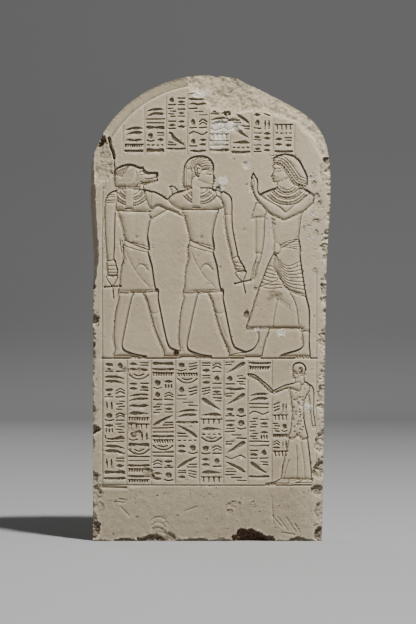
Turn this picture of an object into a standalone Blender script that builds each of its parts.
"""Round-topped limestone stele: three standing figures in sunk relief, an offering priest, rows of strokes.

The slab stands on its base with its carved face towards -Y.  Metres, +Z up, origin at the middle of the
underside.  The relief is drawn flat, x to the right and y up the slab, in the sculptor's squares, and every
flat outline is then stood upright on the carved face.  A point given twice in a row makes a sharp corner.
"""

from math import cos, hypot, pi, sin

import bmesh
import bpy
from mathutils import Matrix, Vector

# The slab
HEIGHT = 1.100
SHOULDER_WIDTH = 0.571
WAIST_WIDTH = 0.551
WAIST_HEIGHT = 0.610
FOOT_WIDTH = 0.541
FOOT_SHIFT = -0.0055
THICKNESS = 0.120
ARCH_RISE = 0.262
LEFT_SWELL = 2.0
RIGHT_SWELL = 2.5

# The drawing on the face
SQUARE = 0.0236
PANEL_WIDTH = 0.506
GROUND_LINE = 0.4343
GROUND_BAND = 0.0050
TEXT_FOOT = 0.1310
BORDER_WIDTH = 0.0270
SIDE_LINE_TOP = 0.790

# Where each figure stands: its axis across the face, and the priest's own ground above the strokes' foot
JACKAL_AXIS = -0.1765
GOD_AXIS = -0.0230
MAN_AXIS = 0.1775
PRIEST_AXIS = 0.2130
PRIEST_GROUND = TEXT_FOOT + 0.0030
PRIEST_SOFTNESS = 0.5

# The looped crosses, in squares from the figure's axis and ground line, and the lean of the god's
CROSS_TOP = 8.3
JACKAL_CROSS = -2.25
GOD_CROSS = 4.05
GOD_CROSS_LEAN = 0.22

# The columns of strokes.  The priest takes up the width that is left beside the text's own columns.
TEXT_COLUMNS = 7
PRIEST_COLUMNS = 1.93
TEXT_ROWS = 9
ROWS_BESIDE_HAND = (0, 1, TEXT_ROWS - 2, TEXT_ROWS - 1)
LUNETTE_FOOT = 0.9120
LUNETTE_COLUMNS = 9
LUNETTE_COLUMN_WIDTH = 0.0505
LUNETTE_ROW = 0.0285
LUNETTE_MARGIN = 0.006
LUNETTE_GAP = 0.014

# Widths of the cut lines
FINE_LINE = 0.09
RULE_WIDTH = 0.0012
SIDE_LINE = 0.0016
RIGHT_LINE = 0.0014
FOOT_LINE = 0.0030
ARCH_LINE = 0.0040

# Depths of the carving below the face, and the slope that rises from a figure's outline to its body
POCKET_DEPTH = 0.0070
BODY_SLOPE = 0.0030
SLOPE_START = 0.0010
LINE_DEPTH = 0.0014
STROKE_DEPTH = 0.0020
FRAME_DEPTH = 0.0018
OVERCUT = 0.0040

# Smoothness of the drawn curves, and the longest edge that is closed up after a cut
SPLINE_STEPS = 2
MERGE_DISTANCE = 0.00005

STONE_COLOUR = (0.395, 0.345, 0.272, 1.0)


def clear_scene():
    for obj in list(bpy.data.objects):
        bpy.data.objects.remove(obj)


def limestone():
    material = bpy.data.materials.new("limestone")
    material.use_nodes = True
    shader = material.node_tree.nodes["Principled BSDF"]
    shader.inputs["Base Color"].default_value = STONE_COLOUR
    shader.inputs["Roughness"].default_value = 0.85
    shader.inputs["Metallic"].default_value = 0.0
    return material


def smooth_loop(points, steps=SPLINE_STEPS):
    """A closed Catmull-Rom curve through the points.  A point given twice is a sharp corner."""
    count = len(points)
    curve = []
    for i in range(count):
        before, start, end, after = (Vector(points[(i + k) % count]) for k in (-1, 0, 1, 2))
        if (end - start).length < 1e-9:
            continue
        straight = (start - before).length < 1e-9 and (after - end).length < 1e-9
        for step in range(1 if straight else steps):
            t = step / steps
            curve.append(
                0.5
                * (
                    2 * start
                    + (end - before) * t
                    + (2 * before - 5 * start + 4 * end - after) * t**2
                    + (3 * start - before - 3 * end + after) * t**3
                )
            )
    return curve


def limb(stations, steps=1):
    """A limb's outline from its stations, each the limb's middle (x, y) and its half width there."""
    left, right = [], []
    last = len(stations) - 1
    for i, (x, y, half) in enumerate(stations):
        x0, y0, _ = stations[max(i - 1, 0)]
        x1, y1, _ = stations[min(i + 1, last)]
        length = hypot(x1 - x0, y1 - y0)
        across = Vector((y0 - y1, x1 - x0)) * (half / length)
        left.append(Vector((x, y)) + across)
        right.append(Vector((x, y)) - across)
    return smooth_loop([*left, *reversed(right)], steps)


def placed(outline, axis, facing=1, foot=GROUND_LINE, size=SQUARE):
    """An outline in squares, set on the face.  facing is 1 to the right and -1 to the left."""
    return [Vector((axis + facing * x * size, foot + y * size)) for x, y in outline]


def stroke(path, width):
    """A cut stroke along a short path, pointed at both ends."""
    ends = [Vector(path[0]), Vector(path[-1])]
    left, right = [], []
    for i in range(1, len(path) - 1):
        along = (Vector(path[i + 1]) - Vector(path[i - 1])).normalized()
        across = Vector((-along.y, along.x)) * width / 2
        left.append(Vector(path[i]) + across)
        right.append(Vector(path[i]) - across)
    return [ends[0], *left, ends[1], *reversed(right)]


def line(start, end, width):
    """A straight stroke of even width."""
    start, end = Vector(start), Vector(end)
    along = (end - start).normalized()
    across = Vector((-along.y, along.x)) * width / 2
    return [start - across, end - across, end + across, start + across]


def flat_solid(name, loops, low, high, collection, bevel=0.0, grow=0.0):
    """A solid with these outlines, from low to high above the carved face, made of a filled 2D curve."""
    curve = bpy.data.curves.new(name, "CURVE")
    curve.dimensions = "2D"
    curve.fill_mode = "BOTH"
    curve.extrude = (high - low) / 2 - bevel
    curve.bevel_depth = bevel
    curve.bevel_resolution = 0
    curve.offset = grow - bevel
    for loop in loops:
        spline = curve.splines.new("POLY")
        spline.points.add(len(loop) - 1)
        for point, place in zip(spline.points, loop):
            point.co = (place[0], place[1], 0.0, 1.0)
        spline.use_cyclic_u = True
    drawn = bpy.data.objects.new(name + "_outline", curve)
    bpy.context.scene.collection.objects.link(drawn)
    drawn.matrix_world = FACE @ Matrix.Translation((0.0, 0.0, (low + high) / 2))
    bpy.context.view_layer.update()
    mesh = bpy.data.meshes.new_from_object(drawn.evaluated_get(bpy.context.evaluated_depsgraph_get()))
    solid = bpy.data.objects.new(name, mesh)
    solid.matrix_world = drawn.matrix_world
    bpy.data.objects.remove(drawn)
    collection.objects.link(solid)
    shape = bmesh.new()
    shape.from_mesh(mesh)
    bmesh.ops.remove_doubles(shape, verts=shape.verts, dist=1e-5)
    bmesh.ops.recalc_face_normals(shape, faces=shape.faces)
    shape.to_mesh(mesh)
    shape.free()
    return solid


def as_cutter(obj):
    obj.hide_render = True
    obj.display_type = "WIRE"


def combine(target, operation, collection):
    """Joins to the target, or cuts from it, every solid in the collection, and closes hair-thin edges."""
    for obj in collection.objects:
        as_cutter(obj)
    modifier = target.modifiers.new(operation.lower(), "BOOLEAN")
    modifier.operation = operation
    modifier.solver = "EXACT"
    modifier.operand_type = "COLLECTION"
    modifier.collection = collection
    weld = target.modifiers.new("weld", "WELD")
    weld.merge_threshold = MERGE_DISTANCE


# The slab's own outline


def arch_loss(x):
    """How far the top has broken away below the full arch at x: one long break and one notch."""
    breaks = (
        (0.170, 0.105, 0.0290),
        (0.065, 0.045, 0.0050),
        (0.0150, 0.0060, 0.0075),
    )
    lost = 0.0
    for middle, half, depth in breaks:
        share = (x - middle) / half
        if abs(share) < 1:
            lost += depth * (1 - share * share)
    return lost


def slab_outline(arch_steps=60):
    half = SHOULDER_WIDTH / 2
    spring = HEIGHT - ARCH_RISE
    flare = []
    for step in range(5):
        t = step / 5
        out = WAIST_WIDTH + (SHOULDER_WIDTH - WAIST_WIDTH) * (3 * t**2 - 2 * t**3)
        flare.append((out / 2, WAIST_HEIGHT + (spring - WAIST_HEIGHT) * t))
    points = [Vector((FOOT_SHIFT - FOOT_WIDTH / 2, 0.0)), Vector((FOOT_SHIFT + FOOT_WIDTH / 2, 0.0))]
    points += [Vector((x, y)) for x, y in flare]
    for step in range(arch_steps + 1):
        angle = pi * step / arch_steps
        swell = RIGHT_SWELL if cos(angle) > 0 else LEFT_SWELL
        across = abs(cos(angle)) ** (2 / swell)
        x = half * across * (1 if cos(angle) > 0 else -1)
        y = spring + ARCH_RISE * abs(sin(angle)) ** (2 / swell)
        points.append(Vector((x, y - arch_loss(x))))
    points += [Vector((-x, y)) for x, y in reversed(flare)]
    return points


# Figures, in squares from the ground line and from the figure's own axis


def striding_body():
    """Torso, kilt and legs of a striding man who faces right."""
    return {
        "torso": (
            0.0034,
            smooth_loop(
                [
                    (-1.9, 15.3), (-1.85, 14.0), (-1.3, 12.9), (-1.05, 11.7), (-1.1, 10.7),
                    (1.35, 10.7), (1.3, 12.0), (1.5, 13.2), (1.9, 14.4), (2.1, 15.3),
                    (1.8, 16.5), (0.8, 17.0), (-0.8, 17.0), (-1.7, 16.6),
                ]
            ),
        ),
        "kilt": (
            0.0026,
            smooth_loop(
                [
                    (-1.1, 11.7), (-1.1, 11.7), (-1.2, 9.9), (-1.45, 8.8), (-1.6, 7.7), (-1.6, 6.45),
                    (-1.6, 6.45), (2.3, 6.6), (2.3, 6.6), (1.95, 8.0), (1.8, 9.2), (1.5, 10.1),
                    (1.3, 11.0), (1.3, 11.0),
                ]
            ),
        ),
        "back_leg": (
            0.0036,
            limb(
                [
                    (-0.80, 6.8, 0.80), (-1.15, 5.2, 0.78), (-1.35, 3.9, 0.74), (-1.55, 2.6, 0.62),
                    (-1.62, 1.5, 0.48), (-1.62, 0.5, 0.50),
                ]
            ),
        ),
        "back_foot": (
            0.0032,
            smooth_loop(
                [
                    (-2.1, 0.9), (-2.15, 0.05), (-2.15, 0.05), (1.2, 0.05), (1.2, 0.30), (0.0, 0.45),
                    (-1.1, 0.90),
                ]
            ),
        ),
        "front_leg": (
            0.0030,
            limb(
                [
                    (1.60, 6.7, 0.78), (1.88, 5.2, 0.70), (2.25, 3.6, 0.66), (2.70, 2.2, 0.56),
                    (3.08, 1.2, 0.42), (3.30, 0.4, 0.45),
                ]
            ),
        ),
        "front_foot": (
            0.0028,
            smooth_loop(
                [
                    (2.95, 0.8), (2.9, 0.05), (2.9, 0.05), (6.1, 0.05), (6.1, 0.30), (4.9, 0.52),
                    (3.8, 0.95),
                ]
            ),
        ),
    }


def standing_god():
    """The middle figure: human head with a round wig, one arm hanging with a looped cross in the fist."""
    parts = striding_body()
    parts["shoulders"] = (
        0.0024,
        smooth_loop(
            [
                (-0.8, 16.9), (-1.8, 16.75), (-2.7, 16.4), (-3.2, 15.9), (-2.8, 15.2), (-1.8, 14.8),
                (0.0, 14.6), (1.8, 14.7), (3.1, 15.2), (3.22, 16.0), (2.6, 16.5), (1.6, 16.9), (0.7, 17.1),
            ]
        ),
    )
    parts["arm"] = (
        0.0018,
        limb(
            [
                (2.70, 16.2, 0.45), (2.82, 15.0, 0.45), (2.88, 13.0, 0.44), (3.12, 11.4, 0.44),
                (3.45, 10.1, 0.40), (3.75, 9.3, 0.42), (4.0, 8.7, 0.55),
            ]
        ),
    )
    parts["hand"] = (
        0.0014,
        smooth_loop([(3.4, 9.2), (3.45, 8.6), (4.5, 8.55), (4.5, 9.3), (4.1, 9.75)]),
    )
    parts["neck"] = (0.0030, limb([(0.15, 16.2, 1.05), (0.20, 17.9, 0.90)]))
    parts["face"] = (0.0022, face_in_profile(1.45, 17.35, 1.55))
    parts["wig"] = (
        0.0014,
        smooth_loop(
            [
                (-1.7, 16.85), (-1.7, 16.85), (-1.78, 17.8), (-1.7, 18.7), (-1.45, 19.4), (-1.0, 19.95),
                (-0.35, 20.2), (0.3, 20.2), (0.9, 19.95), (1.3, 19.4), (1.42, 18.75), (1.42, 18.75),
                (0.2, 18.6), (-0.1, 17.9), (-0.7, 16.9), (-0.7, 16.9),
            ]
        ),
    )
    return parts


def jackal_god():
    """The left figure: jackal's head in a long wig, one arm hanging and the other behind his neighbour."""
    parts = striding_body()
    parts["shoulders"] = (
        0.0026,
        smooth_loop(
            [
                (-1.1, 16.85), (-2.2, 16.6), (-2.95, 16.0), (-2.9, 15.1), (-1.9, 14.7), (0.0, 14.4),
                (1.7, 14.1), (3.2, 14.6), (2.9, 16.0), (2.0, 16.65), (0.9, 16.85),
            ]
        ),
    )
    parts["hanging_arm"] = (
        0.0018,
        limb(
            [
                (-2.45, 16.2, 0.50), (-2.55, 14.8, 0.55), (-2.55, 12.8, 0.54), (-2.52, 11.0, 0.50),
                (-2.42, 9.6, 0.42), (-2.35, 9.0, 0.48), (-2.25, 8.4, 0.60),
            ]
        ),
    )
    parts["hand"] = (
        0.0014,
        smooth_loop([(-2.85, 8.9), (-2.8, 8.15), (-1.8, 8.05), (-1.7, 8.8), (-2.0, 9.2)]),
    )
    parts["reaching_arm"] = (
        0.0012,
        limb(
            [
                (1.6, 15.9, 0.70), (2.7, 15.35, 0.62), (3.7, 14.95, 0.60), (4.5, 14.5, 0.45),
                (4.85, 14.2, 0.30),
            ]
        ),
    )
    parts["neck"] = (0.0030, limb([(-0.1, 16.3, 0.9), (0.0, 17.4, 0.75)]))
    parts["muzzle"] = (
        0.0020,
        smooth_loop(
            [
                (0.2, 19.0), (0.8, 19.1), (1.1, 18.75), (1.5, 18.57), (2.25, 18.55), (2.38, 18.3),
                (2.3, 17.75), (2.1, 17.55), (1.3, 17.4), (0.8, 17.25), (0.3, 17.1), (-0.2, 17.3),
            ]
        ),
    )
    parts["wig"] = (
        0.0014,
        smooth_loop(
            [
                (-2.0, 16.9), (-2.0, 16.9), (-2.15, 18.0), (-2.1, 18.75), (-1.6, 19.15), (-0.9, 19.4),
                (-0.2, 19.35), (0.4, 19.0), (0.45, 18.2), (0.2, 17.3), (-0.1, 16.9), (-0.1, 16.9),
            ]
        ),
    )
    return parts


def worshipper():
    """The right figure, drawn as if he faced right: long echeloned wig, one hand raised, pleated dress."""
    return {
        "body": (
            0.0032,
            smooth_loop(
                [
                    (2.0, 16.4), (2.4, 16.2), (1.5, 14.6), (1.35, 13.2), (1.25, 12.0), (0.95, 10.7),
                    (-1.6, 10.7), (-1.45, 12.5), (-1.6, 13.8), (-2.1, 14.8), (-2.9, 15.9), (-2.6, 16.5),
                    (-1.8, 16.9), (0.0, 17.1),
                ]
            ),
        ),
        "skirt": (
            0.0034,
            smooth_loop(
                [
                    (1.0, 10.6), (1.0, 10.6), (1.85, 8.9), (2.5, 7.3), (3.0, 5.9), (3.5, 4.5), (3.95, 2.75),
                    (3.95, 2.75), (-1.5, 2.75), (-2.5, 2.6), (-2.5, 2.6), (-2.55, 4.9), (-2.2, 6.3),
                    (-1.85, 8.2), (-1.5, 10.3), (-1.5, 10.3),
                ]
            ),
        ),
        "overskirt": (
            0.0020,
            smooth_loop(
                [
                    (0.95, 10.7), (0.95, 10.7), (1.15, 9.3), (0.9, 8.5), (0.45, 7.7), (0.0, 7.0),
                    (-0.6, 6.5), (-1.3, 6.2), (-2.15, 6.0), (-2.15, 6.0), (-1.9, 7.8), (-1.6, 9.5),
                    (-1.5, 11.9), (-1.5, 11.9),
                ]
            ),
        ),
        "front_leg": (
            0.0038,
            limb([(2.1, 3.0, 0.55), (2.25, 1.9, 0.47), (2.45, 1.0, 0.42), (2.5, 0.4, 0.45)]),
        ),
        "front_foot": (
            0.0036,
            smooth_loop(
                [
                    (2.1, 0.9), (2.1, 0.05), (2.1, 0.05), (5.3, 0.05), (5.3, 0.30), (4.2, 0.5),
                    (3.1, 0.95),
                ]
            ),
        ),
        "back_leg": (0.0038, limb([(-2.1, 3.0, 0.42), (-2.15, 1.9, 0.40), (-2.15, 0.6, 0.44)])),
        "back_foot": (
            0.0036,
            smooth_loop(
                [
                    (-2.6, 0.9), (-2.6, 0.05), (-2.6, 0.05), (0.5, 0.05), (0.5, 0.30), (-0.5, 0.55),
                    (-1.6, 0.95),
                ]
            ),
        ),
        "hanging_arm": (
            0.0030,
            limb([(2.2, 15.6, 0.6), (2.55, 13.6, 0.52), (2.65, 11.5, 0.40), (2.7, 10.0, 0.36)]),
        ),
        "hanging_hand": (0.0026, limb([(2.7, 10.0, 0.38), (2.9, 9.0, 0.48), (3.1, 7.9, 0.30)])),
        "sleeve": (
            0.0022,
            smooth_loop(
                [
                    (2.95, 15.4), (2.95, 15.4), (3.45, 13.9), (3.45, 13.9), (2.0, 14.0), (2.0, 14.0),
                    (1.9, 15.2),
                ]
            ),
        ),
        "upper_arm": (
            0.0014,
            limb([(-2.3, 15.8, 0.42), (-1.3, 15.05, 0.46), (-0.2, 14.5, 0.46), (0.6, 14.3, 0.34)]),
        ),
        "forearm": (
            0.0013,
            limb(
                [
                    (0.2, 14.25, 0.36), (1.3, 14.75, 0.42), (2.2, 15.6, 0.40), (2.8, 16.5, 0.32),
                    (3.0, 17.2, 0.32),
                ]
            ),
        ),
        "raised_hand": (0.0014, limb([(2.95, 16.8, 0.36), (3.05, 17.7, 0.38), (3.15, 18.5, 0.22)])),
        "neck": (0.0032, limb([(-0.2, 16.8, 0.8), (0.2, 17.8, 0.7)])),
        "face": (0.0024, face_in_profile(1.25, 17.55, 1.65)),
        "wig": (
            0.0014,
            smooth_loop(
                [
                    (1.25, 19.65), (1.0, 20.15), (0.3, 20.4), (-0.5, 20.35), (-1.2, 20.0), (-1.75, 19.3),
                    (-2.1, 18.3), (-2.35, 17.4), (-2.05, 16.95), (-2.05, 16.95), (-1.4, 17.1), (-0.9, 17.3),
                    (-0.3, 17.9), (0.1, 18.6), (0.4, 19.05), (0.8, 19.2), (1.2, 19.1), (1.2, 19.1),
                ]
            ),
        ),
    }


def offering_priest():
    """The small shaven priest at the lower right, drawn as if he faced right, in a leopard skin."""
    return {
        "skirt": (
            0.0028,
            smooth_loop(
                [
                    (1.05, 5.1), (1.05, 5.1), (1.5, 3.0), (1.85, 1.2), (1.95, 0.4), (1.95, 0.4), (-1.2, 0.4),
                    (-1.2, 0.4), (-1.05, 2.8), (-0.65, 5.1), (-0.65, 5.1),
                ]
            ),
        ),
        "front_foot": (
            0.0026,
            smooth_loop(
                [
                    (1.1, 0.6), (1.1, 0.02), (1.1, 0.02), (3.4, 0.02), (3.4, 0.25), (2.5, 0.42),
                    (1.9, 0.60),
                ]
            ),
        ),
        "back_foot": (
            0.0026,
            smooth_loop(
                [
                    (-1.3, 0.6), (-1.3, 0.05), (-1.3, 0.05), (0.5, 0.05), (0.5, 0.28), (-0.2, 0.45),
                    (-0.7, 0.65),
                ]
            ),
        ),
        "body": (
            0.0020,
            smooth_loop(
                [
                    (0.5, 10.1), (1.1, 9.6), (1.0, 8.2), (0.85, 7.0), (1.1, 5.2), (1.3, 4.6), (0.2, 4.9),
                    (-0.8, 4.6), (-0.6, 6.0), (-0.45, 7.4), (-0.55, 8.9), (-1.3, 9.6), (-1.0, 10.0),
                    (-0.4, 10.3),
                ]
            ),
        ),
        "hanging_arm": (
            0.0016,
            limb([(-1.1, 9.7, 0.25), (-1.2, 8.4, 0.27), (-1.2, 7.0, 0.26), (-1.3, 5.9, 0.22)]),
        ),
        "raised_arm": (
            0.0010,
            limb(
                [
                    (-0.3, 9.65, 0.34), (0.6, 9.7, 0.32), (1.6, 9.75, 0.28), (2.6, 9.3, 0.27),
                    (3.5, 9.95, 0.24), (4.4, 10.6, 0.20), (5.1, 10.95, 0.14),
                ]
            ),
        ),
        "neck": (0.0024, limb([(0.0, 9.9, 0.40), (0.1, 10.9, 0.35)])),
        "face": (0.0016, face_in_profile(0.72, 10.55, 0.95)),
        "head": (
            0.0014,
            smooth_loop(
                [
                    (0.75, 11.4), (0.65, 11.9), (0.3, 12.2), (-0.1, 12.25), (-0.5, 12.0), (-0.68, 11.5),
                    (-0.5, 11.0), (-0.1, 10.8), (0.3, 10.9),
                ]
            ),
        ),
    }


def face_in_profile(brow_x, chin_y, height):
    """A plain profile that faces right, in equal thirds: chin, nose and brow.  It belongs to no one."""
    third = height / 3
    swell = 0.16 * height
    return smooth_loop(
        [
            (brow_x, chin_y + 3 * third),
            (brow_x + 0.02 * height, chin_y + 2.2 * third),
            (brow_x + 0.95 * swell, chin_y + 1.25 * third),
            (brow_x + 0.95 * swell, chin_y + 1.25 * third),
            (brow_x + 0.25 * swell, chin_y + 1.0 * third),
            (brow_x + 0.45 * swell, chin_y + 0.72 * third),
            (brow_x + 0.20 * swell, chin_y + 0.35 * third),
            (brow_x + 0.10 * swell, chin_y),
            (brow_x - 0.30 * height, chin_y - 0.02 * height),
            (brow_x - 0.95 * height, chin_y + 0.15 * height),
            (brow_x - 1.05 * height, chin_y + 0.95 * height),
        ],
        steps=2,
    )


# Lines and strokes


def arcs(centre, radii, start, end, width, steps=5):
    """Concentric arc strokes round a centre, from one angle to another."""
    made = []
    for radius in radii:
        angles = [start + (end - start) * k / steps for k in range(steps + 1)]
        path = [(centre[0] + radius * cos(a), centre[1] + radius * sin(a)) for a in angles]
        made.append(stroke(path, width))
    return made


def figure_lines():
    """Belts, hems, collars, hair and pleats in squares, by figure and by the part that they are cut into."""
    belt = [line((-0.9, 11.5), (1.1, 10.85), FINE_LINE), line((-0.95, 10.9), (1.2, 10.3), FINE_LINE)]
    locks = [
        line((-1.8 + 0.3 * k, 17.7 - 0.1 * k), (-1.2 + 0.3 * k, 18.7 - 0.1 * k), FINE_LINE) for k in range(3)
    ]
    waves = []
    for up in (0.15, 0.50):
        wave = [
            (1.1, 19.3 + up), (0.6, 19.35 + up), (-0.1, 18.8 + up), (-1.0 - up, 17.6 + up),
            (-1.9, 17.25 + up),
        ]
        waves.append(stroke(wave, FINE_LINE))
    folds, pleats = [], []
    for k in range(4):
        fold = [
            (0.7, 10.0 - 0.3 * k), (0.2, 8.9 - 0.4 * k), (-0.6, 8.4 - 0.4 * k), (-1.6, 8.6 - 0.5 * k),
        ]
        folds.append(stroke(fold, FINE_LINE))
        pleats.append(line((1.95 + 0.15 * k, 8.5 - 0.4 * k), (1.25 - 0.1 * k, 8.6 - 0.3 * k), FINE_LINE))
    return {
        "god": {
            "shoulders": arcs((0.0, 17.0), (1.0, 1.45, 1.9), -0.82 * pi, -0.18 * pi, FINE_LINE),
            "wig": arcs((-0.2, 18.5), (0.8, 1.2), 0.15 * pi, 0.75 * pi, FINE_LINE),
            "kilt": belt,
        },
        "jackal": {
            "shoulders": arcs((-0.4, 17.0), (1.0, 1.45, 1.9), -0.85 * pi, -0.15 * pi, FINE_LINE),
            "wig": locks,
            "kilt": belt,
        },
        "man": {
            "body": arcs((-0.2, 17.2), (1.0, 1.4, 1.8, 2.2), -0.80 * pi, -0.20 * pi, FINE_LINE),
            "wig": waves,
            "overskirt": folds,
            "skirt": pleats,
        },
        "priest": {
            "skirt": [line((0.3, 0.6), (0.4, 3.9), FINE_LINE)],
        },
    }


def looped_cross(fist_x, fist_y, lean):
    """The looped cross that hangs from a fist: a loop, a crossbar and a stem."""
    turn = Matrix.Rotation(lean, 2)
    pieces = [
        stroke([(-0.45, 0.0), (-0.35, -0.5), (0.0, -0.85), (0.1, -0.85)], 0.16),
        stroke([(0.45, 0.0), (0.35, -0.5), (0.1, -0.80), (0.0, -0.85)], 0.16),
        line((-0.8, -1.0), (0.8, -1.0), 0.24),
        line((0.0, -1.3), (0.0, -2.2), 0.16),
    ]
    return [[turn @ Vector(p) + Vector((fist_x, fist_y)) for p in piece] for piece in pieces]


def mark(left, foot, width, height, kind):
    """One cell's stroke, which isn't a letter: a bar, a slanted wedge, a post or a low bow in turn."""
    kinds = (
        line((0.05, 0.5), (0.95, 0.5), 0.24),
        [(0.05, 0.80), (0.95, 0.10), (0.30, 0.95)],
        line((0.5, 0.05), (0.5, 0.95), 0.16),
        [(0.05, 0.35), (0.95, 0.35), (0.5, 0.80)],
        [(0.10, 0.15), (0.90, 0.75), (0.65, 0.95)],
    )
    return [(left + width * x, foot + height * y) for x, y in kinds[kind % len(kinds)]]


def inscription():
    """Rows of strokes under the ground line and in the lunette, and the rules between the columns."""
    strokes, rules = [], []
    column = PANEL_WIDTH / (TEXT_COLUMNS + PRIEST_COLUMNS)
    left = -PANEL_WIDTH / 2
    top = GROUND_LINE - 2 * GROUND_BAND
    row = (top - TEXT_FOOT) / TEXT_ROWS
    for c in range(TEXT_COLUMNS):
        x = left + column * c
        rules.append(line((x + column, TEXT_FOOT + GROUND_BAND), (x + column, top), RULE_WIDTH))
        for r in range(TEXT_ROWS):
            if c == TEXT_COLUMNS - 1 and r in ROWS_BESIDE_HAND:
                continue
            foot = TEXT_FOOT + row * (r + 0.2)
            strokes.append(mark(x + 0.14 * column, foot, 0.72 * column, 0.6 * row, 2 * c + 3 * r))
    wide = LUNETTE_COLUMN_WIDTH - LUNETTE_GAP
    for c in range(LUNETTE_COLUMNS):
        x = (c - LUNETTE_COLUMNS / 2) * LUNETTE_COLUMN_WIDTH
        room = arch_height(x + LUNETTE_COLUMN_WIDTH / 2) - LUNETTE_FOOT - 2 * BORDER_WIDTH
        for r in range(max(0, int(room / LUNETTE_ROW))):
            foot = LUNETTE_FOOT + LUNETTE_ROW * (r + 0.15)
            strokes.append(mark(x + LUNETTE_MARGIN, foot, wide, 0.62 * LUNETTE_ROW, c + 2 * r + 1))
    return strokes, rules


def arch_height(x):
    """Height of the unbroken arch above x."""
    swell = RIGHT_SWELL if x > 0 else LEFT_SWELL
    share = min(1.0, abs(2 * x / SHOULDER_WIDTH))
    return HEIGHT - ARCH_RISE + ARCH_RISE * (1 - share**swell) ** (1 / swell)


def frame_lines():
    """The groove inside the arch, the side lines, the ground band and the line under the strokes."""
    half = PANEL_WIDTH / 2
    under_band = GROUND_LINE - GROUND_BAND / 2
    band = line((-half, under_band), (half, under_band), GROUND_BAND)
    foot = line((-half - 2 * GROUND_BAND, TEXT_FOOT), (half - 2.4 * GROUND_BAND, TEXT_FOOT), FOOT_LINE)
    side = line((-half, TEXT_FOOT + GROUND_BAND), (-half, GROUND_LINE - 2 * GROUND_BAND), SIDE_LINE)
    upper = line((-half, GROUND_LINE + GROUND_BAND), (-half, SIDE_LINE_TOP), SIDE_LINE)
    right_foot = (half - 0.4 * GROUND_BAND, TEXT_FOOT + 4 * GROUND_BAND)
    right_top = (half - 0.2 * GROUND_BAND, GROUND_LINE - 3 * GROUND_BAND)
    inner_half = SHOULDER_WIDTH / 2 - BORDER_WIDTH
    rise = ARCH_RISE - BORDER_WIDTH
    path = []
    for step in range(13):
        angle = pi * (0.56 + 0.30 * step / 12)
        path.append((inner_half * cos(angle), HEIGHT - ARCH_RISE + rise * sin(angle)))
    return [band, foot, side, upper, line(right_foot, right_top, RIGHT_LINE), stroke(path, ARCH_LINE)]


# Breaks and chips


def rock(name, place, size, collection, seed):
    """A rough lump that bites a piece out of the slab."""
    mesh = bpy.data.meshes.new(name)
    shape = bmesh.new()
    bmesh.ops.create_icosphere(shape, subdivisions=1, radius=1.0)
    for i, vert in enumerate(shape.verts):
        wobble = 1 + 0.16 * sin(12.9898 * (i + 1) + 4.1 * seed)
        vert.co = Vector((vert.co.x * size[0], vert.co.y * size[1], vert.co.z * size[2])) * wobble
    shape.to_mesh(mesh)
    shape.free()
    obj = bpy.data.objects.new(name, mesh)
    obj.location = place
    collection.objects.link(obj)
    return obj


def slanted_cut(name, corners, depth_at, collection):
    """A cutter over corners on the face, whose floor slants: depth_at gives its depth at each corner."""
    mesh = bpy.data.meshes.new(name)
    shape = bmesh.new()
    outer = [shape.verts.new((x, FRONT - OVERCUT, z)) for x, z in corners]
    inner = [shape.verts.new((x, FRONT + depth, z)) for (x, z), depth in zip(corners, depth_at)]
    bottom = shape.faces.new(inner)
    top = shape.faces.new(outer)
    bmesh.ops.bridge_loops(shape, edges=[*bottom.edges, *top.edges])
    bmesh.ops.triangulate(shape, faces=shape.faces)
    bmesh.ops.recalc_face_normals(shape, faces=shape.faces)
    shape.to_mesh(mesh)
    shape.free()
    obj = bpy.data.objects.new(name, mesh)
    collection.objects.link(obj)
    return obj


def damage(collection):
    """The broken corner, the flaked top edge, the worn left shoulder and the chips round the rim."""
    slanted_cut(
        "broken_corner",
        [
            (-0.300, 0.850), (-0.2215, 0.855), (-0.2235, 0.905), (-0.2300, 0.935), (-0.2420, 0.950),
            (-0.300, 0.950),
        ],
        [0.0005, 0.0060, 0.0140, 0.0120, 0.0080, 0.0200],
        collection,
    )
    slanted_cut(
        "flaked_top",
        [
            (-0.045, 1.075), (0.000, 1.050), (0.040, 1.005), (0.100, 1.012), (0.160, 1.010),
            (0.215, 0.975), (0.245, 0.900), (0.300, 0.930), (0.290, 1.060), (0.060, 1.120),
            (-0.045, 1.110),
        ],
        [0.0010, 0.0020, 0.0050, 0.0045, 0.0020, 0.0010, 0.0008, 0.0060, 0.0120, 0.0120, 0.0060],
        collection,
    )
    slanted_cut(
        "worn_shoulder",
        [
            (-0.2775, 0.625), (-0.2705, 0.680), (-0.2700, 0.860), (-0.2790, 0.905), (-0.3100, 0.905),
            (-0.3100, 0.625),
        ],
        [0.0000, 0.0002, 0.0002, 0.0000, 0.0700, 0.0700],
        collection,
    )
    # Each chip is its middle on the face (x, z) and its half sizes across, into the stone and up.
    chips = (
        ((0.093, 0.000), (0.040, 0.030, 0.026)),
        ((-0.125, 0.002), (0.034, 0.016, 0.014)),
        ((-0.282, 0.595), (0.016, 0.014, 0.012)),
        ((-0.280, 0.520), (0.014, 0.014, 0.018)),
        ((-0.286, 0.262), (0.016, 0.014, 0.011)),
        ((-0.276, 0.120), (0.012, 0.012, 0.018)),
        ((0.281, 0.900), (0.012, 0.014, 0.010)),
        ((0.278, 0.690), (0.012, 0.012, 0.018)),
        ((0.272, 0.590), (0.010, 0.012, 0.014)),
        ((0.268, 0.190), (0.014, 0.014, 0.022)),
        ((0.268, 0.105), (0.012, 0.014, 0.020)),
        ((0.080, 0.536), (0.007, 0.004, 0.007)),
        ((-0.079, 0.442), (0.008, 0.006, 0.006)),
        ((0.040, 1.010), (0.010, 0.008, 0.006)),
    )
    for n, ((x, z), size) in enumerate(chips):
        rock(f"chip_{n}", (x, FRONT, z), size, collection, n)


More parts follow.
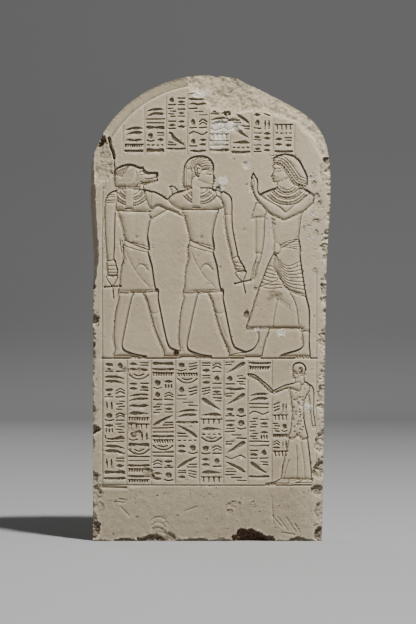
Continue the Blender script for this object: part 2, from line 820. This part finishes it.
def figures():
    """Each figure: its parts, its axis, the way it faces, the line it stands on and its slopes' share."""
    return {
        "jackal": (jackal_god(), JACKAL_AXIS, 1, GROUND_LINE, 1.0),
        "god": (standing_god(), GOD_AXIS, 1, GROUND_LINE, 1.0),
        "man": (worshipper(), MAN_AXIS, -1, GROUND_LINE, 1.0),
        "priest": (offering_priest(), PRIEST_AXIS, -1, PRIEST_GROUND, PRIEST_SOFTNESS),
    }


def new_collection(name, parent=None):
    made = bpy.data.collections.new(name)
    (parent or bpy.context.scene.collection).children.link(made)
    return made


def carve_figures(pockets, pads, cuts):
    """Sinks each part of each figure in a pocket, raises its body in there, and cuts its lines."""
    lines = figure_lines()
    for name, (parts, axis, facing, foot, softness) in figures().items():
        slope = BODY_SLOPE * softness
        grow = SLOPE_START * softness
        for piece, (depth, outline) in parts.items():
            label = f"{name}_{piece}"
            loop = placed(outline, axis, facing, foot)
            flat_solid(f"{label}_pocket", [loop], -POCKET_DEPTH, OVERCUT, pockets)
            flat_solid(f"{label}_pad", [loop], -POCKET_DEPTH - 2 * slope, -depth, pads, slope, grow)
            for k, cut in enumerate(lines[name].get(piece, ())):
                drawn = placed(cut, axis, facing, foot)
                flat_solid(f"{label}_line_{k}", [drawn], -depth - LINE_DEPTH, OVERCUT, cuts)


def carve_lines(cuts):
    """Cuts the strokes, the rules between them, the frame's lines and the looped crosses."""
    strokes, rules = inscription()
    for k, loop in enumerate(strokes):
        flat_solid(f"stroke_{k}", [loop], -STROKE_DEPTH, OVERCUT, cuts)
    for k, loop in enumerate(rules):
        flat_solid(f"rule_{k}", [loop], -LINE_DEPTH / 2, OVERCUT, cuts)
    for k, loop in enumerate(frame_lines()):
        flat_solid(f"frame_{k}", [loop], -FRAME_DEPTH, OVERCUT, cuts)
    crosses = ((JACKAL_AXIS + JACKAL_CROSS * SQUARE, 0.0), (GOD_AXIS + GOD_CROSS * SQUARE, GOD_CROSS_LEAN))
    for axis, lean in crosses:
        for k, loop in enumerate(looped_cross(0.0, CROSS_TOP, lean)):
            flat_solid(f"cross_{k}", [placed(loop, axis)], -STROKE_DEPTH, OVERCUT, cuts)


def main():
    clear_scene()
    part = new_collection("stele")
    helpers = new_collection("cutters")
    pockets, pads, cuts, breaks = (
        new_collection(name, helpers) for name in ("pockets", "pads", "cuts", "breaks")
    )

    stele = flat_solid("stele", [slab_outline()], -THICKNESS, 0.0, part)
    stele.data.materials.append(limestone())
    carve_figures(pockets, pads, cuts)
    carve_lines(cuts)
    damage(breaks)

    combine(stele, "DIFFERENCE", pockets)
    combine(stele, "UNION", pads)
    combine(stele, "DIFFERENCE", cuts)
    combine(stele, "DIFFERENCE", breaks)


# The plane of the carving: x to the right, y up the slab, and z out of the stone towards -Y.
FRONT = -THICKNESS / 2
FACE = Matrix.Translation((0.0, FRONT, 0.0)) @ Matrix.Rotation(pi / 2, 4, "X")

main()
